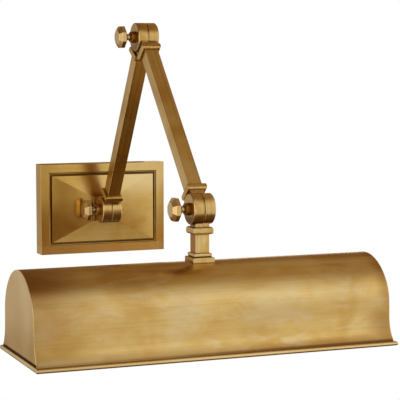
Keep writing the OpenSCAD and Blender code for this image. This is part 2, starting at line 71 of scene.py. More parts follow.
# %% Image points and the camera
IMAGE = 400
POINTS = {
    "left_edge": (1.0, None), "right_edge": (398.6, None),
    "top_edge": (None, 23.3), "bottom_edge": (None, 376.9),
    "plate_top_left": (35.9, 164.3), "plate_top_right": (163.8, 161.1),
    "plate_bottom_left": (36.1, 252.4), "plate_bottom_right": (163.7, 249.9),
    "panel_top_left": (51.8, 176.9), "panel_bottom_right": (152.9, 237.8),
    "wall_knob": (83.9, 210.5), "elbow_knob": (121.7, 36.8), "tilt_knob": (176.0, 208.1),
    "rim_front_left": (36.9, 376.9), "rim_front_right": (398.6, 341.0),
    "cloud_left": (185.0, 315.0), "cloud_middle": (275.0, 310.0), "cloud_right": (340.0, 290.0),
}
LENS_MM = 134.454
SENSOR_MM = 36.0
SHIFT_X, SHIFT_Y = 0.0, 0.0
CAMERA_AT = Vector((-0.5933, -1.83362, 0.1830))
YAW, PITCH, ROLL = math.radians(21.85), math.radians(5.20), math.radians(-0.06)

toward = Vector((math.sin(YAW) * math.cos(PITCH), math.cos(YAW) * math.cos(PITCH), -math.sin(PITCH)))
level = Vector((math.cos(YAW), -math.sin(YAW), 0.0))
upright = level.cross(toward)
right = math.cos(ROLL) * level + math.sin(ROLL) * upright
up = math.cos(ROLL) * upright - math.sin(ROLL) * level

camera = bpy.data.objects.new("camera", bpy.data.cameras.new("camera"))
bpy.context.scene.collection.objects.link(camera)
bpy.context.scene.camera = camera
camera.data.sensor_fit = "AUTO"
camera.data.sensor_width = SENSOR_MM
camera.data.lens = LENS_MM
camera.data.shift_x, camera.data.shift_y = SHIFT_X, SHIFT_Y
camera.data.clip_start, camera.data.clip_end = 0.05, 50.0
turn = Matrix((right, up, -toward)).transposed()
camera.matrix_world = Matrix.Translation(CAMERA_AT) @ turn.to_4x4()
bpy.context.view_layer.update()
print("camera aim:", [round(v, 4) for v in toward])

# %% [markdown]
# ## From a point of the picture to a place on the metal
# To put something where the picture shows it, a ray goes from the camera through the point and
# stops on the first surface. A search tree of the surface's faces finds that place at once. A
# ray that misses takes the place that lies nearest to it. The way back, from a place to
# pixels, lets the script measure at the end how far each thing shows from its point.

# %% Place and picture
SEARCH_FROM, SEARCH_STEP, SEARCH_STOPS = 1.2, 0.002, 700


def place(x, y, tree):
    """The place on a surface where the picture's point (x, y) shows."""
    ray = Vector((x - IMAGE / 2 + SHIFT_X * IMAGE, IMAGE / 2 - y + SHIFT_Y * IMAGE,
                  -IMAGE * LENS_MM / SENSOR_MM))
    ray = (turn @ ray).normalized()
    hit = tree.ray_cast(CAMERA_AT, ray)[0]
    if hit is None:
        stops = [CAMERA_AT + ray * (SEARCH_FROM + SEARCH_STEP * stop) for stop in range(SEARCH_STOPS)]
        near = [tree.find_nearest(stop)[0] for stop in stops]
        hit = min(near, key=lambda spot: (spot - CAMERA_AT).cross(ray).length)
    return hit


def picture(spot):
    """The pixels at which a place in the frame shows."""
    seen = turn.transposed() @ (spot - CAMERA_AT)
    scale = IMAGE * LENS_MM / SENSOR_MM / -seen.z
    return (IMAGE / 2 - SHIFT_X * IMAGE + seen.x * scale, IMAGE / 2 + SHIFT_Y * IMAGE - seen.y * scale)


print("the wall knob's pivot shows at:", [round(v) for v in picture(pivot_of["wall_hinge"])])

# %% [markdown]
# ## A plain studio
# Satin metal shows the room more than its own colour. In the picture the upright faces are light,
# the roof of the trough is dark brown and the arms' fronts differ by the way they lean, so the room
# was white in front with brown timber or card above, below and behind. Two lamps light what is
# matt: a big soft box front right and a strip on the left. Gloss can't see them, because a lamp's
# sharp outline would show in it. What gloss mirrors is the white world and thin glowing cards.

# %% Lights
LOOK_AT = Vector((0.0, -0.2, 0.08))


def soft_box(name, azimuth, height, distance, wide, tall, glow):
    """A rectangular lamp that faces the object. Neither the camera nor gloss sees it."""
    lamp = bpy.data.objects.new(name, bpy.data.lights.new(name, "AREA"))
    bpy.context.scene.collection.objects.link(lamp)
    lamp.data.shape, lamp.data.size, lamp.data.size_y = "RECTANGLE", wide, tall
    lamp.data.energy = math.pi * wide * tall * glow
    a, e = math.radians(azimuth), math.radians(height)
    away = Vector((math.sin(a) * math.cos(e), -math.cos(a) * math.cos(e), math.sin(e)))
    lamp.location = LOOK_AT + away * distance
    lamp.rotation_mode = "QUATERNION"
    lamp.rotation_quaternion = away.to_track_quat("Z", "Y")
    lamp.visible_camera = False
    lamp.visible_glossy = False


soft_box("soft_box_right", azimuth=42, height=13, distance=1.5, wide=1.73, tall=2.39, glow=1.05)
soft_box("soft_strip_left", azimuth=-92, height=16, distance=1.5, wide=1.0, tall=1.9, glow=1.45)
print("lamps:", len(bpy.data.lights))

# %% [markdown]
# ## Nodes by arithmetic
# Every finish and every grown shape is a tree of nodes. Two small classes keep those trees
# readable. `Sock` is one output of a node, and its operators add Math nodes, so a rule reads as a
# line of sums. `Kit` adds any other node from its type, its settings and its inputs.

# %% Sockets with operators
class Sock:
    """One output of a node. Sums with it add Math nodes to the same tree."""

    def __init__(self, kit, socket):
        self.kit, self.socket = kit, socket

    def sum(self, operation, *values):
        return self.kit.node("ShaderNodeMath", {"operation": operation}, dict(enumerate(values)))

    def __add__(self, other):
        return self.sum("ADD", self, other)

    def __radd__(self, other):
        return self.sum("ADD", other, self)

    def __sub__(self, other):
        return self.sum("SUBTRACT", self, other)

    def __rsub__(self, other):
        return self.sum("SUBTRACT", other, self)

    def __mul__(self, other):
        return self.sum("MULTIPLY", self, other)

    def __rmul__(self, other):
        return self.sum("MULTIPLY", other, self)

    def __truediv__(self, other):
        return self.sum("DIVIDE", self, other)

    def __rtruediv__(self, other):
        return self.sum("DIVIDE", other, self)

    def __pow__(self, other):
        return self.sum("POWER", self, other)

    def __gt__(self, other):
        return self.sum("GREATER_THAN", self, other)

    def __lt__(self, other):
        return self.sum("LESS_THAN", self, other)

    def __mod__(self, other):
        return self.sum("MODULO", self, other)

    def __abs__(self):
        return self.sum("ABSOLUTE", self)

    def larger(self, other):
        return self.sum("MAXIMUM", self, other)

    def smaller(self, other):
        return self.sum("MINIMUM", self, other)

    def sign(self):
        return self.sum("SIGN", self)

    def sine(self):
        return self.sum("SINE", self)

    def cosine(self):
        return self.sum("COSINE", self)


class Kit:
    """Adds nodes to one tree."""

    def __init__(self, tree):
        self.tree = tree

    def node(self, kind, settings=None, links=None, out=0):
        """One node: its settings first, then its sockets' values or links."""
        made = self.tree.nodes.new(kind)
        for key, value in (settings or {}).items():
            setattr(made, key, value)
        for key, value in (links or {}).items():
            if isinstance(value, Sock):
                self.tree.links.new(value.socket, made.inputs[key])
            else:
                made.inputs[key].default_value = value
        if isinstance(out, tuple):
            return tuple(Sock(self, made.outputs[one]) for one in out)
        return Sock(self, made.outputs[out]) if made.outputs else None

# %% [markdown]
# ## What a finish can do
# A finish is a kit for one material. It reads Object coordinates, which stay fixed to the metal
# when a joint moves. On an arm the pattern must run along the arm, so a Mapping node puts the
# pattern's origin on the pivot and leans it with the arm.

# %% Finish
class Finish(Kit):
    """A material under construction."""

    def __init__(self, name, pivot=(0, 0, 0), lean=0.0):
        self.material = bpy.data.materials.new(name)
        self.material.use_nodes = True
        super().__init__(self.material.node_tree)
        self.tree.nodes.clear()
        at = self.node("ShaderNodeTexCoord", out="Object")
        self.at = self.node("ShaderNodeMapping", {"vector_type": "TEXTURE"}, {
            "Vector": at, "Location": tuple(pivot), "Rotation": (math.radians(lean), 0, 0)})
        self.x, self.y, self.z = self.node("ShaderNodeSeparateXYZ", links={0: self.at}, out=(0, 1, 2))

    def vector(self, x, y, z):
        """Three numbers as one vector."""
        return self.node("ShaderNodeCombineXYZ", links={0: x, 1: y, 2: z})

    def noise(self, vector, scale=1.0, detail=3.0, rough=0.55, warp=0.0):
        """A cloudy number between 0 and 1, mostly near the middle."""
        return self.node("ShaderNodeTexNoise", None, {
            "Vector": vector, "Scale": scale, "Detail": detail, "Roughness": rough, "Distortion": warp})

    def fade(self, value, low, high, first=0.0, last=1.0):
        """Runs smoothly from first to last while value runs from low to high."""
        return self.node("ShaderNodeMapRange", {"interpolation_type": "SMOOTHSTEP"},
                         {0: value, 1: low, 2: high, 3: first, 4: last})

    def blend(self, amount, first, second):
        """A mix of two colours."""
        full = [(*c, 1.0) if isinstance(c, tuple) else c for c in (first, second)]
        return self.node("ShaderNodeMix", {"data_type": "RGBA"}, {0: amount, 6: full[0], 7: full[1]}, out=2)

    def bump(self, height, distance, strength):
        """The way a surface faces when a height lifts it."""
        return self.node("ShaderNodeBump", None, {
            "Height": height, "Distance": distance, "Strength": strength})

    def surface(self, **sockets):
        """Ends the tree in a Principled shader and gives back the material."""
        links = {key.replace("_", " "): value for key, value in sockets.items()}
        shader = self.node("ShaderNodeBsdfPrincipled", None, links)
        self.node("ShaderNodeOutputMaterial", None, {0: shader})
        return self.material

# %% [markdown]
# ## White all round, brown where the metal is dark
# The background is white because its colour is white, not because more light is poured on it. The
# Light Path node tells which rays see it: the camera's, and those that leave gloss or glass. All
# other rays meet a quieter room. The cards are plain glowing sheets that only gloss sees: brown
# above and below, pale to brown along the wall, and white in front. Three brighter ones, low behind
# on the right, high in front and on the left, put highlights where the picture has them.

# %% World, floor and cards
def background_rays(kit):
    """1 for the rays that show the background: camera, gloss and glass."""
    camera_ray, gloss_ray, glass_ray = kit.node("ShaderNodeLightPath", out=(
        "Is Camera Ray", "Is Glossy Ray", "Is Transmission Ray"))
    return camera_ray.larger(gloss_ray.larger(glass_ray))


WHITE = (1.0, 1.0, 1.0, 1.0)
ROOM_GLOW, BACKGROUND_GLOW = 0.5, 1.0
room = bpy.data.worlds.new("white_room")
bpy.context.scene.world = room
room.use_nodes = True
room.node_tree.nodes.clear()
kit = Kit(room.node_tree)
quiet = kit.node("ShaderNodeBackground", None, {"Color": WHITE, "Strength": ROOM_GLOW})
bright = kit.node("ShaderNodeBackground", None, {"Color": WHITE, "Strength": BACKGROUND_GLOW})
kit.node("ShaderNodeOutputWorld", None, {0: kit.node("ShaderNodeMixShader", None, {
    0: background_rays(kit), 1: quiet, 2: bright})})


def sheet(name, corners, material):
    """A flat sheet of the studio, on four corners."""
    mesh = bpy.data.meshes.new(name)
    mesh.from_pydata(corners, [], [tuple(range(len(corners)))])
    mesh.materials.append(material)
    thing = bpy.data.objects.new(name, mesh)
    bpy.context.scene.collection.objects.link(thing)
    return thing


def level_corners(x_low, x_high, y_low, y_high, z):
    """The corners of a level sheet."""
    return [(x_low, y_low, z), (x_high, y_low, z), (x_high, y_high, z), (x_low, y_high, z)]


def upright_corners(start, end, z_low, z_high):
    """The corners of an upright sheet over a line from start to end, two places on the floor plan."""
    return [(*start, z_low), (*end, z_low), (*end, z_high), (*start, z_high)]


FLOOR_Z, FLOOR_HALF = -2.2, 3.8
FADE_FROM, FADE_TO, SHOWN_SHARE = 1.2, 3.4, 0.8
pale = Finish("pale_floor")
lit = pale.node("ShaderNodeBsdfDiffuse", None, {"Color": (0.9, 0.9, 0.9, 1.0)})
shown = pale.node("ShaderNodeEmission", None, {"Color": WHITE, "Strength": 1.0})
rim_share = pale.fade((pale.x * pale.x + pale.y * pale.y) ** 0.5, FADE_FROM, FADE_TO)
pale.node("ShaderNodeOutputMaterial", None, {0: pale.node("ShaderNodeMixShader", None, {
    0: background_rays(pale) * (SHOWN_SHARE + (1.0 - SHOWN_SHARE) * rim_share), 1: lit, 2: shown})})
sheet("floor", level_corners(-FLOOR_HALF, FLOOR_HALF, -FLOOR_HALF, FLOOR_HALF, FLOOR_Z), pale.material)


def card(name, corners, left_tone, right_tone=None, span=(0.0, 1.0), dim_above=None, white_before=None):
    """A card that only gloss sees. It may fade from left to right, upwards and towards the front."""
    glow = Finish(name)
    strength = 1.0
    if dim_above is not None:
        strength = glow.fade(glow.z, *dim_above, 1.0, 0.55)
    colour = glow.blend(glow.fade(glow.x, *span), left_tone, right_tone or left_tone)
    if white_before is not None:
        colour = glow.blend(glow.fade(glow.y, *white_before), (1.0, 1.0, 1.0), colour)
    shine = glow.node("ShaderNodeEmission", None, {0: colour, 1: strength})
    glow.node("ShaderNodeOutputMaterial", None, {0: shine})
    thing = sheet(name, corners, glow.material)
    for sight in ("camera", "diffuse", "shadow", "transmission", "volume_scatter"):
        setattr(thing, "visible_" + sight, False)


card("card_above", level_corners(-1.5, 1.5, -1.0, 1.5, 0.75),
     (0.20, 0.10, 0.033), (0.45, 0.32, 0.170), (-0.15, 0.40), white_before=(-0.95, -0.42))
card("card_below", level_corners(-0.3, 0.9, -1.4, 0.2, -0.55), (0.15, 0.078, 0.019),
     white_before=(-1.4, -0.85))
card("card_behind", upright_corners((-1.5, 0.45), (1.5, 0.45), -0.24, 0.9),
     (0.70, 0.66, 0.58), (0.26, 0.145, 0.050), (-0.42, 0.02))
card("card_behind_low", upright_corners((-1.5, 0.45), (1.5, 0.45), -0.9, -0.24),
     (0.50, 0.42, 0.31), (0.16, 0.070, 0.018), (-0.50, -0.20))
card("card_front_left", upright_corners((-1.2, -1.6), (0.65, -1.9), -0.6, 2.4),
     (0.58, 0.50, 0.35), (1.0, 1.0, 1.0), (-0.20, 0.50), dim_above=(0.6, 1.7))
card("card_behind_right", upright_corners((0.22, 0.44), (1.3, 0.44), -0.5, 0.12), (1.45, 1.38, 1.24))
card("card_front_high", upright_corners((0.30, -1.55), (1.2, -1.55), 0.45, 1.15), (1.15, 1.16, 1.14))
card("card_left", upright_corners((-1.3, -0.5), (-1.3, -1.3), -0.2, 0.9), (2.40, 2.28, 1.78))
cards = [thing for thing in bpy.context.scene.objects if thing.type == "MESH" and not thing.visible_camera]
print("cards that only gloss sees:", len(cards))

# %% [markdown]
# ## Aged brass
# The whole light wears one finish: satin antique brass, clear coated long ago and cloudy since.
# Four noises make it. A slow one moves the tone between gold and pale gold, and umber where it is
# lowest. A middle one adds honey brown stains. Two long thin ones follow the lines that the
# polishing belt or the lathe left, and they also lift the surface by a hair, which stretches
# every highlight across them.

# %% Brass
GOLD, PALE = (0.60, 0.390, 0.115), (0.68, 0.495, 0.212)
HONEY, UMBER, CORNER_SHADE = (0.55, 0.31, 0.065), (0.36, 0.17, 0.030), (0.13, 0.045, 0.006)


def line_vectors(metal, lines, fine, slow):
    """A vector that changes fast across the polishing lines and slowly along them."""
    if lines == "along_x":
        return metal.vector(metal.x * slow, metal.y * fine, metal.z * fine)
    if lines == "along_z":
        return metal.vector(metal.x * fine, metal.y * fine, metal.z * slow)
    if lines == "turned_x":
        radius = (metal.y * metal.y + metal.z * metal.z) ** 0.5
        return metal.vector(metal.x * fine, radius * fine, 0.0)
    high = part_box("wall_plate")[1]
    side = (abs(metal.x) - high.x) > (abs(metal.z) - high.z)
    across, down = slow + side * (fine - slow), fine + side * (slow - fine)
    return metal.vector(metal.x * across, metal.y * fine, metal.z * down)


def in_corners(metal, reach):
    """Painted shade for inner corners: 1 there, 0 on open metal, by how much of the near room a spot can't
    see.
    """
    open_share = metal.node("ShaderNodeAmbientOcclusion", {"samples": 4}, {"Distance": reach}, out="AO")
    return metal.fade(open_share, 0.84, 0.48)


def brass(name, lines, pivot=(0, 0, 0), lean=0.0, age=0.5, gloss=0.22, clouds=17.0, lined=1.0,
          stain=None, coat=0.15, reach=4 * MM):
    """Aged satin brass under a thin lacquer. age darkens it, lined is how strong its lines are."""
    metal = Finish(name, pivot, lean)
    cloud = metal.noise(metal.at, clouds, 3.0, 0.5, 0.6)
    mottle = metal.noise(metal.at, clouds * 4.3, 3.0, 0.5)
    fine = metal.noise(line_vectors(metal, lines, fine=1300.0, slow=14.0), 1.0, 2.0)
    broad = metal.noise(line_vectors(metal, lines, fine=420.0, slow=5.0), 1.0, 3.0)
    colour = metal.blend(metal.fade(cloud, 0.42, 0.62) * 0.8, GOLD, PALE)
    colour = metal.blend(metal.fade(mottle, 0.48, 0.74) * (0.20 + 0.45 * age), colour, HONEY)
    colour = metal.blend(metal.fade(cloud, 0.50, 0.30) * (0.15 + 0.5 * age), colour, UMBER)
    colour = metal.blend(metal.fade(broad, 0.46, 0.64) * (0.34 * lined), colour, UMBER)
    colour = metal.blend(metal.fade(fine, 0.46, 0.66) * (0.30 * lined), colour, PALE)
    rough = gloss + 0.07 * cloud + 0.06 * broad
    if stain is not None:
        colour, rough = stain(metal, colour, rough)
    # Painted shade: inner corners are darkened and made a little rougher.
    painted_shade = in_corners(metal, reach)
    colour = metal.blend(painted_shade * 0.8, colour, CORNER_SHADE)
    shape = metal.bump(fine * 0.5 + broad, 0.03 * MM, 0.6 * lined)
    return metal.surface(Base_Color=colour, Metallic=1.0, Roughness=rough + 0.12 * painted_shade, Normal=shape,
                         Coat_Weight=coat, Coat_Roughness=0.14)


def worn_brass(name):
    """Edges that hands and cloths have rubbed bright again."""
    metal = Finish(name)
    nick = metal.noise(metal.at, 240.0, 3.0)
    colour = metal.blend(metal.fade(nick, 0.40, 0.65), (0.72, 0.55, 0.28), (0.62, 0.42, 0.16))
    return metal.surface(Base_Color=colour, Metallic=1.0, Roughness=0.20 + 0.14 * nick)


worn = worn_brass("worn_brass_edges")
print("brass finishes ready")

# %% [markdown]
# ## Where hands reach and where shade is painted
# Age isn't even, and some shade is painted in. Painted shade lies under the drums, in corners, over the
# small bosses, on the knobs' lower sides and on the sides of the square parts, and fingers keep the knobs'
# faces pale. Each of these is a stain: a function that takes the brass so far and gives back its colour and
# roughness.
# A stain measures from the pivot that its finish is centred on, so it turns with its part.

# %% Stains
DRUM_REACH, KNOB_FACE = 17.2 * MM, -33.5 * MM
# The drum's low colour and the boss colour are painted shade.
DRUM_TONE, DRUM_LOW_SHADE, BOSS_SHADE = (0.40, 0.20, 0.04), (0.12, 0.034, 0.002), (0.27, 0.098, 0.006)
WIPED, FINGERED, SCUFFED = (0.74, 0.56, 0.27), (0.70, 0.52, 0.29), (0.56, 0.40, 0.20)
# The knob's low colour and the brown of square sides are painted shade.
KNOB_LOW_SHADE, SIDE_SHADE = (0.34, 0.15, 0.025), (0.37, 0.135, 0.006)


def underside(amount, tone):
    """Painted shade low on a drum, where it faces down, and a darker tone over the whole drum."""
    def stain(metal, colour, rough):
        colour = metal.blend(tone, colour, DRUM_TONE)
        drum = (metal.y * metal.y + metal.z * metal.z) ** 0.5 < DRUM_REACH
        painted_shade = drum * metal.fade(metal.z + 5 * MM * metal.noise(metal.at, 120.0, 3.0), -1 * MM, -8 * MM)
        return metal.blend(painted_shade * amount, colour, DRUM_LOW_SHADE), rough + 0.08 * painted_shade
    return stain


def shaded_boss(amount):
    """Painted shade over a small boss, which sits between its knob and its drum."""
    def stain(metal, colour, rough):
        patch = metal.noise(metal.at, 160.0, 4.0)
        boss_shade_share = metal.fade(patch, 0.2, 0.7, amount, 0.8 * amount)
        return metal.blend(boss_shade_share, colour, BOSS_SHADE), rough + 0.05
    return stain


def pale_touch(metal, colour, rough):
    """A part that is often wiped, and stays pale."""
    patch = metal.noise(metal.at, 30.0, 4.0)
    return metal.blend(metal.fade(patch, 0.2, 0.7, 0.75, 0.45), colour, WIPED), rough


def handled(metal, colour, rough):
    """A knob whose scuffed face fingers keep pale, and whose lower sides get painted shade."""
    scuff = metal.noise(metal.at, 900.0, 4.0, 0.65)
    pale = metal.blend(metal.fade(scuff, 0.35, 0.65), FINGERED, SCUFFED)
    colour = metal.blend(0.45 + 0.4 * (metal.x < KNOB_FACE), colour, pale)
    # Painted shade on the knob's lower sides.
    low = metal.fade(metal.z, -3 * MM, -10 * MM) * (metal.x > KNOB_FACE)
    return metal.blend(low * 0.75, colour, KNOB_LOW_SHADE), rough + 0.06 * scuff


def shaded_sides(half_width, amount):
    """Painted shade on the sides of a square post or foot, which stay darker than its front."""
    def stain(metal, colour, rough):
        side = abs(metal.x) > half_width
        return metal.blend(side * amount, colour, SIDE_SHADE), rough + 0.04 * side
    return stain


STAINS = (underside, shaded_boss, pale_touch, handled, shaded_sides)
print("stains:", ", ".join(stain.__name__ for stain in STAINS))

# %% [markdown]
# ## The finishes behind the brass
# The crossbar behind the plate, the screws and the nuts are zinc plated steel, greyish with a
# slight blue bloom. The ground screw is green. Sleeving, fibre washers, glazed porcelain lampholders,
# bright bulb caps and frosted glass complete the list. Few people see them, but the light is
# seen from below when it hangs.

# %% Other finishes
def zinc(name):
    """Zinc plate: grey with a bluish bloom and a few yellowed patches."""
    metal = Finish(name)
    bloom = metal.noise(metal.at, 90.0, 4.0, 0.6, 0.4)
    grain = metal.noise(metal.at, 900.0, 2.0)
    colour = metal.blend(metal.fade(bloom, 0.35, 0.7), (0.60, 0.60, 0.57), (0.50, 0.53, 0.58))
    colour = metal.blend(metal.fade(bloom, 0.62, 0.78) * 0.6, colour, (0.44, 0.40, 0.33))
    return metal.surface(Base_Color=colour, Metallic=1.0, Roughness=0.30 + 0.20 * bloom,
                         Normal=metal.bump(grain, 0.02 * MM, 0.5))


def green_coat(name):
    """The green of an earth screw, chipped to bare steel here and there."""
    paint = Finish(name)
    chip = paint.noise(paint.at, 700.0, 4.0)
    bare = paint.fade(chip, 0.66, 0.70)
    colour = paint.blend(paint.fade(chip, 0.3, 0.6), (0.035, 0.24, 0.075), (0.06, 0.32, 0.11))
    colour = paint.blend(bare, colour, (0.6, 0.6, 0.58))
    return paint.surface(Base_Color=colour, Metallic=bare * 1.0, Roughness=0.32 + 0.15 * chip)


def fibre(name):
    """Dark pressed fibre with fine flecks."""
    board = Finish(name)
    fleck = board.noise(board.at, 1100.0, 4.0, 0.7)
    colour = board.blend(board.fade(fleck, 0.35, 0.7), (0.045, 0.036, 0.03), (0.11, 0.09, 0.07))
    return board.surface(Base_Color=colour, Roughness=0.75 + 0.2 * fleck,
                         Normal=board.bump(fleck, 0.06 * MM, 0.7))


def sleeving(name):
    """Black woven sleeving over a lead, its weave drawn out along the height."""
    skin = Finish(name)
    weave = skin.noise(skin.vector(skin.x * 900.0, skin.y * 900.0, skin.z * 160.0), 1.0, 3.0)
    colour = skin.blend(skin.fade(weave, 0.3, 0.7), (0.016, 0.016, 0.017), (0.04, 0.038, 0.036))
    return skin.surface(Base_Color=colour, Roughness=0.5 + 0.2 * weave,
                        Normal=skin.bump(weave, 0.05 * MM, 0.6))


def glaze(name):
    """Off white porcelain under a glaze, with a few dark specks."""
    pot = Finish(name)
    dip = pot.noise(pot.at, 60.0, 3.0)
    speck = pot.noise(pot.at, 1400.0, 2.0)
    colour = pot.blend(pot.fade(dip, 0.35, 0.65), (0.86, 0.84, 0.78), (0.80, 0.78, 0.71))
    colour = pot.blend(pot.fade(speck, 0.74, 0.78) * 0.5, colour, (0.35, 0.28, 0.20))
    return pot.surface(Base_Color=colour, Roughness=0.16 + 0.1 * dip, Coat_Weight=0.5,
                       Normal=pot.bump(dip, 0.4 * MM, 0.3))


def bright_cap(name):
    """The bright metal cap of a bulb, lightly scuffed."""
    metal = Finish(name)
    scuff = metal.noise(metal.at, 260.0, 4.0, 0.6)
    colour = metal.blend(metal.fade(scuff, 0.4, 0.7), (0.74, 0.73, 0.70), (0.62, 0.58, 0.50))
    return metal.surface(Base_Color=colour, Metallic=1.0, Roughness=0.20 + 0.22 * scuff,
                         Normal=metal.bump(scuff, 0.04 * MM, 0.4))


def frosted(name):
    """Frosted glass that lets light through and hides what is inside."""
    glass = Finish(name)
    frost = glass.noise(glass.at, 1600.0, 2.0)
    haze = glass.noise(glass.at, 45.0, 3.0)
    colour = glass.blend(glass.fade(haze, 0.3, 0.7), (0.93, 0.92, 0.88), (0.88, 0.87, 0.82))
    return glass.surface(Base_Color=colour, Roughness=0.34 + 0.12 * haze, IOR=1.5,
                         Transmission_Weight=0.45, Normal=glass.bump(frost, 0.02 * MM, 0.5))


finish_of_slot = {
    "steel": zinc("zinc_plate"), "green_screw": green_coat("green_screw_coat"),
    "fibre": fibre("friction_fibre"), "lead": sleeving("lead_sleeving"),
    "porcelain": glaze("glazed_porcelain"), "cap_metal": bright_cap("bulb_cap_metal"),
    "bulb_glass": frosted("frosted_glass"),
}
print("other finishes:", ", ".join(finish_of_slot))

# %% [markdown]
# ## From solid to piece
# A solid from the frame has knife edges and loose triangles. A real casting has edges that are
# rounded by a few tenths of a millimetre, and those thin roundings catch the light and make it
# look real. So a copy of the solid is welded, its flat faces are joined up, and a Bevel modifier
# rounds what is sharp. The rounding gets its own slot, with the worn finish. The copy is baked to a
# plain mesh that replaces the solid. A flat face with a hole would become one ring-shaped face,
# which folds when it is bevelled, so such pieces are first cut along their middles.

# %% Soften and dress
pieces = {}
KEEN, SMOOTH, FLAT = math.radians(28), math.radians(35), math.radians(0.5)
RINGED = ("rim_bead", "wall_plate", "wall_knob", "elbow_knob", "tilt_knob", "post_base")
# Only the thin rim needs its rounding held back where edges come close together.
CAREFUL = ("rim_bead",)


def welded(node):
    """A clean copy of a solid's mesh: welded, cut along its middles if ringed, flat faces joined."""
    work = bmesh.new()
    work.from_mesh(frame["nodes"][node].data)
    bmesh.ops.remove_doubles(work, verts=work.verts, dist=2e-6)
    low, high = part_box(node)
    cut_axes = range(3) if node in RINGED else ()
    for axis in cut_axes:
        cut = bmesh.ops.bisect_plane(
            work, geom=work.verts[:] + work.edges[:] + work.faces[:], dist=1e-6,
            plane_co=(low + high) / 2, plane_no=[float(axis == i) for i in range(3)])
        for part in cut["geom_cut"]:
            if isinstance(part, bmesh.types.BMEdge):
                part.seam = True
    bmesh.ops.dissolve_limit(work, angle_limit=FLAT, verts=work.verts,
                             edges=work.edges, delimit={"SEAM"})
    bmesh.ops.dissolve_degenerate(work, edges=work.edges, dist=1e-5)
    for face in work.faces:
        face.smooth = True
    mesh = bpy.data.meshes.new(node)
    work.to_mesh(mesh)
    work.free()
    return mesh


def finished(thing, name):
    """The thing with its modifiers baked in, as a new plain mesh object at the origin."""
    graph = bpy.context.evaluated_depsgraph_get()
    mesh = bpy.data.meshes.new_from_object(thing.evaluated_get(graph))
    mesh.name = name
    bpy.data.objects.remove(thing)
    piece = bpy.data.objects.new(name, mesh)
    bpy.context.scene.collection.objects.link(piece)
    return piece


def seat(piece, node):
    """Hands the piece over to the frame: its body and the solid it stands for."""
    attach(piece, body_of[node])
    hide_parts(node)
    pieces[node] = piece
    return piece


def soften(mesh, name, width, edge, careful=False, sharp=SMOOTH, keen=KEEN):
    """Rounds the mesh's sharp edges and gives the rounding its own finish."""
    mesh.set_sharp_from_angle(angle=sharp)
    thing = bpy.data.objects.new(name + "_rough", mesh)
    bpy.context.scene.collection.objects.link(thing)
    mesh.materials.append(edge)
    bevel = thing.modifiers.new("rounding", "BEVEL")
    bevel.width, bevel.segments = width, 2
    bevel.limit_method, bevel.angle_limit = "ANGLE", keen
    bevel.use_clamp_overlap = careful
    bevel.material = len(mesh.materials) - 1
    bevel.harden_normals = True
    return finished(thing, name)


def dress(node, finish, width=0.3 * MM, edge=None, sharp=SMOOTH, keen=KEEN):
    """A softened copy of a solid in its real finish."""
    mesh = welded(node)
    mesh.materials.append(finish)
    seat(soften(mesh, node + "_piece", width, edge or finish, node in CAREFUL, sharp, keen), node)


print("cut along their middles:", len(RINGED))

# %% [markdown]
# ## Plate and knuckles
# The plate is a stamped tray with a raised pyramid in the middle. Its border was brushed along each
# side, so the lines meet at the corners in a mitre. The knuckle halves were turned on a lathe,
# and their lines run round the pivot. The knobs were turned and then cut to eight sides.

# %% Plate, knuckles and knobs
WALL, ELBOW, TILT = pivot_of["wall_hinge"], pivot_of["elbow_hinge"], pivot_of["tilt_hinge"]
ARM_1_LEAN, ARM_2_LEAN = 32.5, 180.0 - 43.0
plate_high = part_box("wall_plate")[1]
BORDER = 11 * MM
PANEL_X, PANEL_Z = plate_high.x - BORDER, plate_high.z - BORDER
# The warm tone is the plate's own. The pale colour is a painted highlight and the brown is painted shade.
PANEL_WARM, PAINTED_HIGHLIGHT, BORDER_SHADE = (0.56, 0.335, 0.060), (0.72, 0.54, 0.26), (0.44, 0.21, 0.035)
GROOVE_DARK = (0.20, 0.075, 0.012)


def plate_grooves_and_painted_light(metal, colour, rough):
    """Darker in the step and the groove round the panel, a painted highlight on the upper right and along
    the foot, and painted shade low right.
    """
    inside = (PANEL_X - abs(metal.x)).smaller(PANEL_Z - abs(metal.z))
    step = metal.fade(inside, -0.4 * MM, 0.0) * metal.fade(inside, 1.0 * MM, 0.5 * MM)
    groove = metal.fade(inside, 1.4 * MM, 1.9 * MM) * metal.fade(inside, 4.4 * MM, 3.6 * MM)
    dark_line = step + groove
    warm = metal.blend(0.45, colour, PANEL_WARM)
    # Painted highlight: the upper right and the lower border are lightened.
    upper_right = metal.fade(metal.z, 10 * MM, 34 * MM) * metal.fade(metal.x, -50 * MM, 50 * MM)
    upper_right = upper_right * metal.fade(inside, -1 * MM, 1 * MM, 0.4, 1.0)
    foot = metal.fade(metal.z, 1 * MM - PANEL_Z, -1 * MM - PANEL_Z)
    warm = metal.blend((upper_right + 0.42 * foot) * 0.85, warm, PAINTED_HIGHLIGHT)
    # Painted shade: the lower right of the border is darkened.
    low_right = metal.fade(metal.x, PANEL_X, plate_high.x) * metal.fade(metal.z, 45 * MM, 20 * MM)
    warm = metal.blend(low_right * 0.5, warm, BORDER_SHADE)
    return metal.blend(dark_line * 0.75, warm, GROOVE_DARK), rough + 0.1 * dark_line


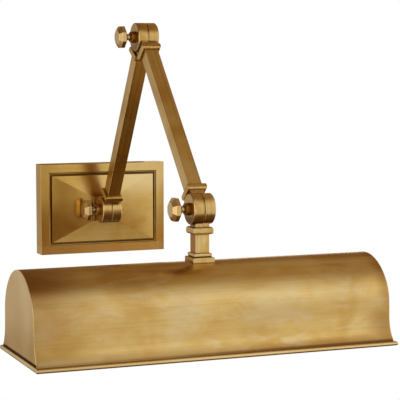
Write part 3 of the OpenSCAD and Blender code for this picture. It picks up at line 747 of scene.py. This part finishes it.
plate_brass = brass("plate_brass", "mitred", age=0.45, gloss=0.17, lined=0.6, stain=plate_grooves_and_painted_light,
                    coat=0.05)
plate_edge_brass = brass("plate_edge_brass", "mitred", age=0.0, lined=0.4, stain=plate_grooves_and_painted_light)
pyramid_brass = brass("pyramid_brass", "along_x", age=0.6, gloss=0.15, clouds=20.0, lined=0.4,
                      stain=plate_grooves_and_painted_light, coat=0.05)
dress("wall_plate", plate_brass, 0.5 * MM, plate_edge_brass)
dress("pyramid_panel", pyramid_brass, 0.3 * MM, sharp=math.radians(2.0), keen=math.radians(8.0))
# Per place: how much painted shade lies low on the drums, the drums' darker tone, and how much painted
# shade lies over the boss.
for place_name, pivot, underside_shade, tone, boss_shade_share, nodes in (
        ("wall", WALL, 0.35, 0.15, 0.5, ("wall_knuckle", "arm_1_lower_knuckle")),
        ("elbow", ELBOW, 0.60, 0.35, 0.95, ("arm_1_upper_knuckle", "arm_2_upper_knuckle")),
        ("tilt", TILT, 0.90, 0.20, 0.95, ("arm_2_lower_knuckle", "post_knuckle"))):
    turned = brass(place_name + "_drum_brass", "turned_x", pivot, age=0.45, clouds=30.0, lined=2.0,
                   stain=underside(underside_shade, tone), coat=0.05)
    knob = brass(place_name + "_knob_brass", "turned_x", pivot, age=0.25, gloss=0.20, clouds=40.0,
                 lined=0.7, stain=handled)
    # The boss gets painted shade.
    dark = brass(place_name + "_boss_brass", "turned_x", pivot, age=1.0, gloss=0.26, stain=shaded_boss(boss_shade_share),
                 coat=0.0)
    for node in nodes:
        dress(node, turned, 0.2 * MM, worn)
    dress(place_name + "_knob", knob, 0.3 * MM, worn, sharp=math.radians(18.0), keen=math.radians(18.0))
    dress(place_name + "_boss", dark, 0.2 * MM)
print("plate, knuckles, knobs and bosses:", len(pieces))

# %% [markdown]
# ## Arms and post
# The arms and the post are drawn square tubes, brushed along their length. A tube that leans needs its
# pattern leaned too, and each arm's angle from upright does that. The post and its foot are small, and
# painted shade keeps their sides brown where the front is gold.

# %% Arms and post
arm_1_brass = brass("arm_1_brass", "along_z", WALL, ARM_1_LEAN, age=0.35, lined=1.1)
arm_2_brass = brass("arm_2_brass", "along_z", ELBOW, ARM_2_LEAN, age=0.3, lined=1.1)
POST_SIDE = 7.6 * MM
FOOT_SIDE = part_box("post_base")[1].x - 0.6 * MM
post_brass = brass("post_brass", "along_z", TILT, age=0.4, clouds=26.0, coat=0.0,
                   stain=shaded_sides(POST_SIDE, 0.85))
foot_brass = brass("post_base_brass", "along_x", TILT, age=0.5, clouds=30.0, coat=0.0,
                   stain=shaded_sides(FOOT_SIDE, 0.7))
dress("arm_1_tube", arm_1_brass, 0.35 * MM, worn)
dress("arm_2_tube", arm_2_brass, 0.35 * MM, worn)
dress("post_tube", post_brass, 0.35 * MM, worn)
dress("post_base", foot_brass, 0.3 * MM, worn)
print("with the arms and the post:", len(pieces))

# %% [markdown]
# ## The trough follows a rule
# The shade is one sheet rolled to a section and drawn along its length: a shallow roof, a rounder
# shoulder, a short wall, a flare and a lip. Geometry Nodes can say that as sums. A flat grid gives
# each point a number from the roof to the lip, and every stretch of the section adds its own arc
# to the ones before. So the curve is smooth, which matters because the metal mirrors the room.

# %% Trough by rule
class Shape(Kit):
    """A shape under construction, with its sizes as named inputs."""

    def __init__(self, name):
        super().__init__(bpy.data.node_groups.new(name, "GeometryNodeTree"))
        self.tree.interface.new_socket("Geometry", in_out="INPUT", socket_type="NodeSocketGeometry")
        self.tree.interface.new_socket("Geometry", in_out="OUTPUT", socket_type="NodeSocketGeometry")
        self.door = self.tree.nodes.new("NodeGroupInput")
        self.values = {}

    def size(self, name, value, kind="NodeSocketFloat"):
        """A named input and its value. The value goes in by the input's identifier."""
        entry = self.tree.interface.new_socket(name, in_out="INPUT", socket_type=kind)
        self.values[entry.identifier] = value
        return Sock(self, self.door.outputs[name])

    def grow(self, geometry, material, name):
        """Ends the tree and gives back its result as a plain mesh object."""
        solid = self.node("GeometryNodeRealizeInstances", None, {0: geometry})
        solid = self.node("GeometryNodeSetMaterial", None, {0: solid, "Material": material})
        self.node("NodeGroupOutput", None, {0: solid})
        thing = bpy.data.objects.new(name + "_seed", bpy.data.meshes.new(name))
        bpy.context.scene.collection.objects.link(thing)
        modifier = thing.modifiers.new("rule", "NODES")
        modifier.node_group = self.tree
        for identifier, value in self.values.items():
            modifier[identifier] = value
        return finished(thing, name)


SHEET = 1.0 * MM
ROOF_R, ROOF_HALF = 60.0 * MM, math.radians(55)
SHOULDER_R, WALL_OUT, WALL_DROP = 41.5 * MM, 0.546 * MM, 14.111 * MM
FLARE_R, FLARE_TURN, LIP_DROP = 41.0 * MM, math.radians(40.02), 4.63 * MM
trough_low, trough_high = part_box("shade_trough")
roof_top = TILT.z - 56.0 * MM
ROOF_END, SHOULDER_END, WALL_END, FLARE_END, LIP_END = 0.36, 0.62, 0.72, 0.95, 1.0

rule = Shape("trough_rule")
length = rule.size("length", trough_high.x - trough_low.x)
roof_r = rule.size("roof radius", ROOF_R)
roof_half = rule.size("roof half angle", ROOF_HALF)
shoulder_r = rule.size("shoulder radius", SHOULDER_R)
wall_out = rule.size("wall lean", WALL_OUT)
wall_drop = rule.size("wall height", WALL_DROP)
flare_r = rule.size("flare radius", FLARE_R)
flare_turn = rule.size("flare angle", FLARE_TURN)
lip_drop = rule.size("lip height", LIP_DROP)
columns = rule.size("columns", 41, "NodeSocketInt")
rows = rule.size("rows", 161, "NodeSocketInt")
grid = rule.node("GeometryNodeMeshGrid", None, {
    "Size X": length, "Size Y": 2.0, "Vertices X": columns, "Vertices Y": rows})
where = rule.node("GeometryNodeInputPosition")
along, number, _ = rule.node("ShaderNodeSeparateXYZ", None, {0: where}, out=(0, 1, 2))


def stretch(value, start, end):
    """0 before a stretch of the section, 1 after it, even in between."""
    return rule.node("ShaderNodeMapRange", {"clamp": True}, {0: value, 1: start, 2: end, 3: 0.0, 4: 1.0})


far = abs(number)
roof = stretch(far, 0.0, ROOF_END) * roof_half
shoulder = roof_half + stretch(far, ROOF_END, SHOULDER_END) * (math.pi / 2 - roof_half)
wall = stretch(far, SHOULDER_END, WALL_END)
flare = stretch(far, WALL_END, FLARE_END) * flare_turn
lip = stretch(far, FLARE_END, LIP_END)
out = (roof_r * roof.sine() + shoulder_r * (shoulder.sine() - roof_half.sine())
       + wall_out * wall + flare_r * (1.0 - flare.cosine()))
down = (roof_r * (1.0 - roof.cosine()) + shoulder_r * (roof_half.cosine() - shoulder.cosine())
        + wall_drop * wall + flare_r * flare.sine() + lip_drop * lip)
spot = rule.node("ShaderNodeCombineXYZ", None, {
    0: along, 1: TILT.y + out * number.sign(), 2: roof_top - down})
curved = rule.node("GeometryNodeSetPosition", None, {"Geometry": grid, "Position": spot})
print("trough rule inputs:", len(rule.values))

# %% [markdown]
# ## The shade's cloudy skin
# The big trough shows its age most: greyish clouds where polish has dried, orange stains and long faint
# streaks. Three of the clouds sit where the picture shows them. Their places come from the image points, by
# a ray onto the solid trough. Painted shade darkens the hem, where some wax also stays, and the two ends. A
# painted shadow lies in the crevice over the rim, and a painted shadow band runs across the front.

# %% Shade brass
solid_shade = welded("shade_trough")
shade_tree = BVHTree.FromPolygons([v.co for v in solid_shade.vertices],
                                  [p.vertices for p in solid_shade.polygons])
cloud_spots = {name: place(*POINTS[name], shade_tree) for name in POINTS if name.startswith("cloud")}
CLOUD_SIZE = {"cloud_left": (20 * MM, 30 * MM), "cloud_middle": (45 * MM, 22 * MM),
              "cloud_right": (35 * MM, 16 * MM)}
RIM_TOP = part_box("rim_bead")[1].z
CAP_LINE, TROUGH_LINE = 4.2 * MM, 2.4 * MM
ASH, ORANGE, SHADOW = (0.66, 0.52, 0.285), (0.55, 0.29, 0.075), (0.42, 0.22, 0.045)
# ASH, ORANGE, SHADOW = (0.66, 0.52, 0.285), (0.55, 0.29, 0.075), (0.42, 0.22, 0.045)
# The hem colour is painted shade with some wax, also used at the ends. The two crevice colours are painted
# shadow.
HEM_WAX_AND_SHADE, CAP_CREVICE_SHADOW, TROUGH_CREVICE_SHADOW = (0.30, 0.125, 0.018), (0.060, 0.014, 0.0), (0.11, 0.036, 0.005)


def crevice_shadow(amount, tall, dark_line, matt):
    """A painted shadow: the dark line just over the rim, in the crevice above the bead."""
    def stain(metal, colour, rough):
        wavy = 0.6 * MM * metal.noise(metal.at, 150.0, 3.0)
        line = metal.fade(metal.z - RIM_TOP - wavy, tall, 0.3 * tall)
        return metal.blend(line * amount, colour, dark_line), rough + matt * line
    return stain


def ash_clouds(metal):
    """How much greyish cloud lies on a spot of the trough: torn blots round the three places."""
    torn = metal.noise(metal.vector(metal.x * 30.0, metal.y * 60.0, metal.z * 60.0), 1.0, 5.0, 0.62, 1.6)
    ash = 0.0
    for name, spot in cloud_spots.items():
        wide, tall = CLOUD_SIZE[name]
        dx, dz = (metal.x - spot.x) / wide, (metal.z - spot.z) / tall
        reach = (dx * dx + dz * dz) ** 0.5 + (torn - 0.5) * 3.2
        ash = metal.fade(reach, 1.3, 0.0) * (metal.y < spot.y + 60 * MM) + ash
    return ash


def hem_and_ends(metal, drift):
    """How much painted shade lies along the hem, where some wax also stays, and at the trough's two ends.
    """
    hem = metal.fade(metal.z - RIM_TOP + 10 * MM * (drift - 0.5), 11 * MM, 1 * MM)
    hem_share = metal.fade(metal.x, trough_low.x, trough_high.x, 0.34, 0.62)
    high = 0.55 + 0.45 * metal.fade(metal.z, roof_top - 40 * MM, roof_top - 15 * MM)
    left_end = high * metal.fade(metal.x - trough_low.x + 20 * MM * (drift - 0.5), 75 * MM, 0.0)
    from_right = trough_high.x - metal.x + 10 * MM * (drift - 0.5)
    low = metal.fade(metal.z, roof_top - 48 * MM, roof_top - 62 * MM)
    right_low = metal.fade(from_right, 36 * MM, 6 * MM) * low * 0.65
    right_end = (metal.fade(from_right, 15 * MM, 0.0) * 0.55).larger(right_low)
    return (hem * hem_share).larger((left_end * 0.8).larger(right_end))


def shade_clouds(metal, colour, rough):
    """Greyish clouds at their places, slow streaks along the whole trough, painted shade at its hem and
    ends with some wax at the hem, a painted shadow band and a painted shadow in the crevice.
    """
    ash = ash_clouds(metal)
    drift = metal.noise(metal.vector(metal.x * 9.0, metal.y * 30.0, metal.z * 30.0), 1.0, 5.0, 0.6, 1.8)
    warm = metal.noise(metal.vector(metal.x * 12.0, metal.y * 34.0, metal.z * 34.0), 1.0, 4.0, 0.6, 1.0)
    colour = metal.blend(metal.fade(drift, 0.50, 0.70) * 0.6, colour, ASH)
    colour = metal.blend(ash.smaller(1.0) * 0.5, colour, ASH)
    colour = metal.blend(metal.fade(warm, 0.52, 0.70) * 0.45, colour, ORANGE)
    # Painted shade along the hem and at the two ends, with some wax at the hem.
    colour = metal.blend(hem_and_ends(metal, drift), colour, HEM_WAX_AND_SHADE)
    # A painted shadow band across the front of the trough.
    under = metal.fade(metal.z, roof_top - 38 * MM, roof_top - 48 * MM)
    band = under * metal.fade(metal.z, roof_top - 66 * MM, roof_top - 56 * MM)
    shadow = band * metal.fade(metal.x + 40 * MM * (drift - 0.5), 20 * MM, 90 * MM)
    colour = metal.blend(shadow * 0.3, colour, SHADOW)
    toward_right = metal.fade(metal.x, trough_low.x, trough_high.x, 0.2, 0.75)
    # Painted shadow in the crevice over the rim, stronger towards the right.
    crevice = crevice_shadow(toward_right, TROUGH_LINE, TROUGH_CREVICE_SHADOW, matt=0.1)
    return crevice(metal, colour, rough + 0.05 * ash)


shade_brass = brass("shade_brass", "along_x", age=0.30, gloss=0.22, clouds=12.0, lined=0.35,
                    stain=shade_clouds)
cap_brass = brass("end_cap_brass", "along_z", age=0.2, clouds=9.0, lined=0.35, coat=0.05,
                  stain=crevice_shadow(1.0, CAP_LINE, CAP_CREVICE_SHADOW, matt=0.7))
print("clouds at:", [[round(v, 3) for v in spot] for spot in cloud_spots.values()])

# %% [markdown]
# ## Sheet, hole and caps
# The rule gives one smooth skin. Solidify turns it into a sheet one millimetre thick, inwards, so
# that the outside stays where the solid's is. A round drill is then subtracted from the roof, for
# the nipple that holds the shade. Each end is closed by a flat cap with the skin's own outline.

# %% The sheet
outer = rule.grow(curved, shade_brass, "shade_outer")
# The outline's points are put in order by their angle about a place inside it.
MOUTH_MIDDLE = TILT.z - 130 * MM
edge_loop = [v.co.copy() for v in outer.data.vertices if v.co.x < trough_low.x + 1e-5]
edge_loop.sort(key=lambda co: math.atan2(co.z - MOUTH_MIDDLE, co.y - TILT.y))
thick = outer.modifiers.new("sheet", "SOLIDIFY")
thick.thickness, thick.offset, thick.use_even_offset = SHEET, -1.0, True
if sum(face.normal.z for face in outer.data.polygons) < 0:
    outer.data.flip_normals()

HOLE_R, DRILL_LONG = 5.2 * MM, 20 * MM
drill = bmesh.new()
bmesh.ops.create_cone(drill, cap_ends=True, segments=64, radius1=HOLE_R, radius2=HOLE_R, depth=DRILL_LONG,
                      matrix=Matrix.Translation((0, TILT.y, roof_top)))
drill_mesh = bpy.data.meshes.new("nipple_drill")
drill.to_mesh(drill_mesh)
drill.free()
driller = bpy.data.objects.new("nipple_drill", drill_mesh)
bpy.context.scene.collection.objects.link(driller)
cut = outer.modifiers.new("nipple_hole", "BOOLEAN")
cut.operation, cut.solver, cut.object = "DIFFERENCE", "EXACT", driller
trough = finished(outer, "shade_trough_piece")
bpy.data.objects.remove(driller)
for face in trough.data.polygons:
    face.use_smooth = True
trough.data.set_sharp_from_angle(angle=SMOOTH)
seat(trough, "shade_trough")
print("trough faces:", len(trough.data.polygons), "outline points:", len(edge_loop))

# %% End caps
for node in ("left_end_cap", "right_end_cap"):
    low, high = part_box(node)
    cap = bmesh.new()
    ring = [cap.verts.new((low.x, co.y, co.z)) for co in edge_loop]
    face = cap.faces.new(ring)
    pushed = bmesh.ops.extrude_face_region(cap, geom=[face])
    bmesh.ops.translate(cap, vec=(high.x - low.x, 0, 0),
                        verts=[v for v in pushed["geom"] if isinstance(v, bmesh.types.BMVert)])
    bmesh.ops.recalc_face_normals(cap, faces=cap.faces)
    for face in cap.faces:
        face.smooth = True
    mesh = bpy.data.meshes.new(node)
    cap.to_mesh(mesh)
    cap.free()
    mesh.materials.append(cap_brass)
    seat(soften(mesh, node + "_piece", 0.25 * MM, worn), node)
    print(node, "thickness in mm:", round((high.x - low.x) / MM, 2))

# %% [markdown]
# ## Six screws from one rule
# Two countersunk screws hold the plate on its crossbar, and four small screws hold the
# lampholders. All are one thing in other sizes: a head, a shank and a slot. So one tree turns the
# outline of a screw, cuts its slot and puts a copy at each station. The stations lie in pairs
# about a middle, and the two screws of a pair face opposite ways.

# %% Screws by rule
def screws(node, count, stations, sizes, slot):
    """Slotted screws in pairs, at the middle plus or minus the first step and the second step."""
    screw = Shape(node + "_rule")
    how_many = screw.size("stations", count, "NodeSocketInt")
    centre, first, second, outward = [
        screw.size(name, value, "NodeSocketVector") for name, value in stations.items()]
    head, neck, height, stem, reach = [screw.size(name, value) for name, value in sizes.items()]
    slot_size = screw.size("slot size", slot, "NodeSocketVector")
    # The grid's six rows become the outline: middle, head, neck, shank, tip and middle again.
    flat_grid = screw.node("GeometryNodeMeshGrid", None, {
        "Size X": 2 * math.pi, "Size Y": 5.0, "Vertices X": 49, "Vertices Y": 6})
    angle, step, _ = screw.node("ShaderNodeSeparateXYZ", None, {
        0: screw.node("GeometryNodeInputPosition")}, out=(0, 1, 2))
    radius = ((step > -2.0) * head + (step > -1.0) * (neck - head) + (step > 0.0) * (stem - neck)
              - (step > 2.0) * stem)
    depth = (step > -1.0) * height + (step > 1.0) * reach
    turned = screw.node("GeometryNodeSetPosition", None, {
        "Geometry": flat_grid, "Position": screw.node("ShaderNodeCombineXYZ", None, {
            0: radius * angle.cosine(), 1: radius * angle.sine(), 2: 0.0 - depth})})
    closed = screw.node("GeometryNodeMergeByDistance", None, {"Geometry": turned, "Distance": 1e-6})
    cutter = screw.node("GeometryNodeMeshCube", None, {"Size": slot_size})
    slotted = screw.node("GeometryNodeMeshBoolean", {"operation": "DIFFERENCE", "solver": "EXACT"}, {
        "Mesh 1": closed, "Mesh 2": cutter})
    index = screw.node("GeometryNodeInputIndex")
    pair = index % 2.0 * 2.0 - 1.0
    row = (index > 1.5) * 2.0 - 1.0
    spot_of = screw.node("ShaderNodeVectorMath", {"operation": "MULTIPLY_ADD"}, {
        0: second, 1: row, 2: screw.node("ShaderNodeVectorMath", {"operation": "MULTIPLY_ADD"}, {
            0: first, 1: pair, 2: centre})})
    heading = screw.node("ShaderNodeVectorMath", {"operation": "MULTIPLY"}, {0: outward, 1: pair})
    points = screw.node("GeometryNodePoints", None, {"Count": how_many, "Position": spot_of})
    copies = screw.node("GeometryNodeInstanceOnPoints", None, {
        "Points": points, "Instance": slotted,
        "Rotation": screw.node("FunctionNodeAlignRotationToVector", {"axis": "Z"}, {"Vector": heading})})
    grown = screw.grow(copies, finish_of_slot[slot_of[node]], node + "_turned")
    mesh = grown.data
    bpy.data.objects.remove(grown)
    for face in mesh.polygons:
        face.use_smooth = True
    piece = seat(soften(mesh, node + "_piece", 0.1 * MM, mesh.materials[0]), node)
    print(node, "faces:", len(piece.data.polygons))


screws("canopy_screws", 2,
       {"middle": (0, -8 * MM, 0), "first step": (0, 0, plate_high.z), "second step": (0, 0, 0),
        "facing": (0, 0, 1)},
       {"head radius": 3.7 * MM, "neck radius": 2.1 * MM, "head height": 1.6 * MM,
        "shank radius": 1.9 * MM, "shank length": 7.0 * MM}, (5.18 * MM, 0.8 * MM, 1.4 * MM))
screws("holder_screws", 4,
       {"middle": (0, TILT.y, TILT.z - 100 * MM), "first step": (20.7 * MM, 0, 0),
        "second step": (0, 0, 12 * MM), "facing": (-1, 0, 0)},
       {"head radius": 2.8 * MM, "neck radius": 2.8 * MM, "head height": 1.8 * MM,
        "shank radius": 1.6 * MM, "shank length": 5.5 * MM}, (8.0 * MM, 0.8 * MM, 1.6 * MM))

# %% [markdown]
# ## The rim and what hides in the trough
# A half round bead runs round the mouth of the trough and stiffens it. Cloths and hands keep it
# pale. Behind and above it, the brackets, nuts, lampholders, bulb caps and leads are dressed in
# their own finishes. The bulbs have no edge to round, so their solids stay and only get glass.

# %% Rim and inner parts
rim_brass = brass("rim_brass", "along_x", age=0.1, lined=0.4, stain=pale_touch, reach=2 * MM)
dress("rim_bead", rim_brass, 0.3 * MM, worn)
PLAIN = ("left_bulb", "right_bulb")
for node in slot_of:
    if node in pieces:
        continue
    finish = finish_of_slot[slot_of[node]]
    if node in PLAIN:
        solid = frame["nodes"][node]
        solid.data.materials.clear()
        solid.data.materials.append(finish)
        pieces[node] = solid
    else:
        dress(node, finish, 0.15 * MM)
print("pieces:", len(pieces))

# %% [markdown]
# ## How true is it?
# The last cells measure. Each point of the picture is compared with the place where the finished thing
# shows, by the corners of the meshes that the camera can see.

# %% Measure the points and the size
SEEN_WITHIN = 0.4 * MM
bpy.context.view_layer.update()
soup_verts, soup_faces = [], []
for node, piece in pieces.items():
    start = len(soup_verts)
    soup_verts += [v.co.copy() for v in piece.data.vertices]
    soup_faces += [[start + i for i in p.vertices] for p in piece.data.polygons]
whole = BVHTree.FromPolygons(soup_verts, soup_faces)


def shown_points(node):
    """Pixels of a piece's corners that the camera sees."""
    found = []
    for v in pieces[node].data.vertices:
        ray = v.co - CAMERA_AT
        hit, _, _, far_off = whole.ray_cast(CAMERA_AT, ray.normalized())
        if hit is None or far_off > ray.length - SEEN_WITHIN:
            found.append(picture(v.co))
    return found


def corner(node, right_way, down_way):
    """The shown corner that lies furthest in a direction of the picture."""
    return max(views[node], key=lambda at: at[0] * right_way + at[1] * down_way)


def middle(node):
    """The middle of what shows of a piece."""
    xs, ys = zip(*views[node])
    return (min(xs) + max(xs)) / 2, (min(ys) + max(ys)) / 2


LOOKED_AT = ("wall_plate", "pyramid_panel", "wall_knob", "elbow_knob", "tilt_knob", "rim_bead",
             "left_end_cap", "arm_1_upper_knuckle", "arm_2_upper_knuckle")
views = {node: shown_points(node) for node in LOOKED_AT}
every = [at for points in views.values() for at in points]
shows = {
    "left_edge": (min(at[0] for at in every), None), "right_edge": (max(at[0] for at in every), None),
    "top_edge": (None, min(at[1] for at in every)), "bottom_edge": (None, max(at[1] for at in every)),
    "plate_top_left": corner("wall_plate", -1, -1), "plate_top_right": corner("wall_plate", 1, -1),
    "plate_bottom_left": corner("wall_plate", -1, 1), "plate_bottom_right": corner("wall_plate", 1, 1),
    "panel_top_left": corner("pyramid_panel", -1, -1),
    "panel_bottom_right": corner("pyramid_panel", 1, 1),
    "rim_front_left": corner("rim_bead", -0.3, 1), "rim_front_right": corner("rim_bead", 1, 0.1),
    **{node: middle(node) for node in ("wall_knob", "elbow_knob", "tilt_knob")},
    **{name: picture(spot) for name, spot in cloud_spots.items()},
}
misses = {name: [None if want is None else round(got - want, 2) for got, want in zip(shows[name], point)]
          for name, point in POINTS.items()}
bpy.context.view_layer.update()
print("largest miss in pixels:", max(abs(v) for miss in misses.values() for v in miss if v is not None))

# %% [markdown]
# ## The colour view
# The Standard view shows each colour about as it is written.

# %% The colour view
bpy.context.scene.view_settings.view_transform = "Standard"
